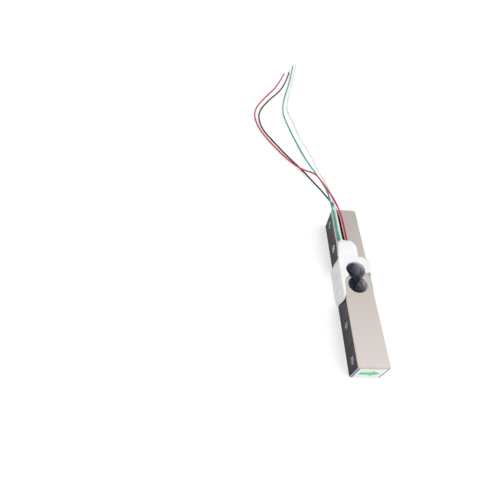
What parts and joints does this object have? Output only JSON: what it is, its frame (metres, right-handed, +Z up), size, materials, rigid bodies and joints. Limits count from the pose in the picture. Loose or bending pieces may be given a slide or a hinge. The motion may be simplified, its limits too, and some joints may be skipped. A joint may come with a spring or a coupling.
{
  "type": "weighing load cell",
  "caption": "Straight aluminium bar weighing load cell with a binocular opening, threaded cross holes, white sealed gauges and loose lead wires.",
  "frame": {"origin": "centre of the bar's bottom face, on which it rests", "axes": "+Z up along the axis of the binocular opening, +Y along the bar towards the wire end, +X the load direction across the bar"},
  "size_m": [0.0517, 0.2523, 0.0199],
  "materials": {
    "bar_aluminium": "machined, clear anodised, satin",
    "silicone_rubber": "soft white sealing rubber, slightly lumpy",
    "label_paper": "coated paper, matt",
    "gauge_film": "amber film",
    "gauge_foil": "etched foil",
    "solder": "smooth tin solder",
    "enamelled_wire": "enamelled copper",
    "circuit_board": "solder-masked glass laminate",
    "copper_pad": "tinned copper",
    "red_insulation": "flexible insulation, semi-gloss",
    "black_insulation": "flexible insulation, semi-gloss",
    "green_insulation": "flexible insulation, semi-gloss",
    "white_insulation": "flexible insulation, semi-gloss",
    "tinned_strand": "tinned strands"
  },
  "bodies": {
    "root": {"beam": "bar_aluminium", "gauge_backing_left_near": "gauge_film", "gauge_grid_left_near": "gauge_foil", "gauge_backing_left_far": "gauge_film", "gauge_grid_left_far": "gauge_foil", "gauge_solder_left": "solder", "gauge_link_left": "enamelled_wire", "jumper_left_1": "enamelled_wire", "jumper_left_2": "enamelled_wire", "jumper_left_3": "enamelled_wire", "gauge_backing_right_near": "gauge_film", "gauge_grid_right_near": "gauge_foil", "gauge_backing_right_far": "gauge_film", "gauge_grid_right_far": "gauge_foil", "gauge_solder_right": "solder", "gauge_link_right": "enamelled_wire", "jumper_right_1": "enamelled_wire", "jumper_right_2": "enamelled_wire", "jumper_right_3": "enamelled_wire", "terminal_board": "circuit_board", "terminal_pads": "copper_pad", "jumper_solder": "solder", "solder_joint_green": "solder", "lead_green": "green_insulation", "lead_tip_green": "tinned_strand", "solder_joint_white": "solder", "lead_white": "white_insulation", "lead_tip_white": "tinned_strand", "solder_joint_black": "solder", "lead_black": "black_insulation", "lead_tip_black": "tinned_strand", "solder_joint_red": "solder", "lead_red": "red_insulation", "lead_tip_red": "tinned_strand", "silicone_coating": "silicone_rubber", "end_label": "label_paper"}
  },
  "joints": []
}
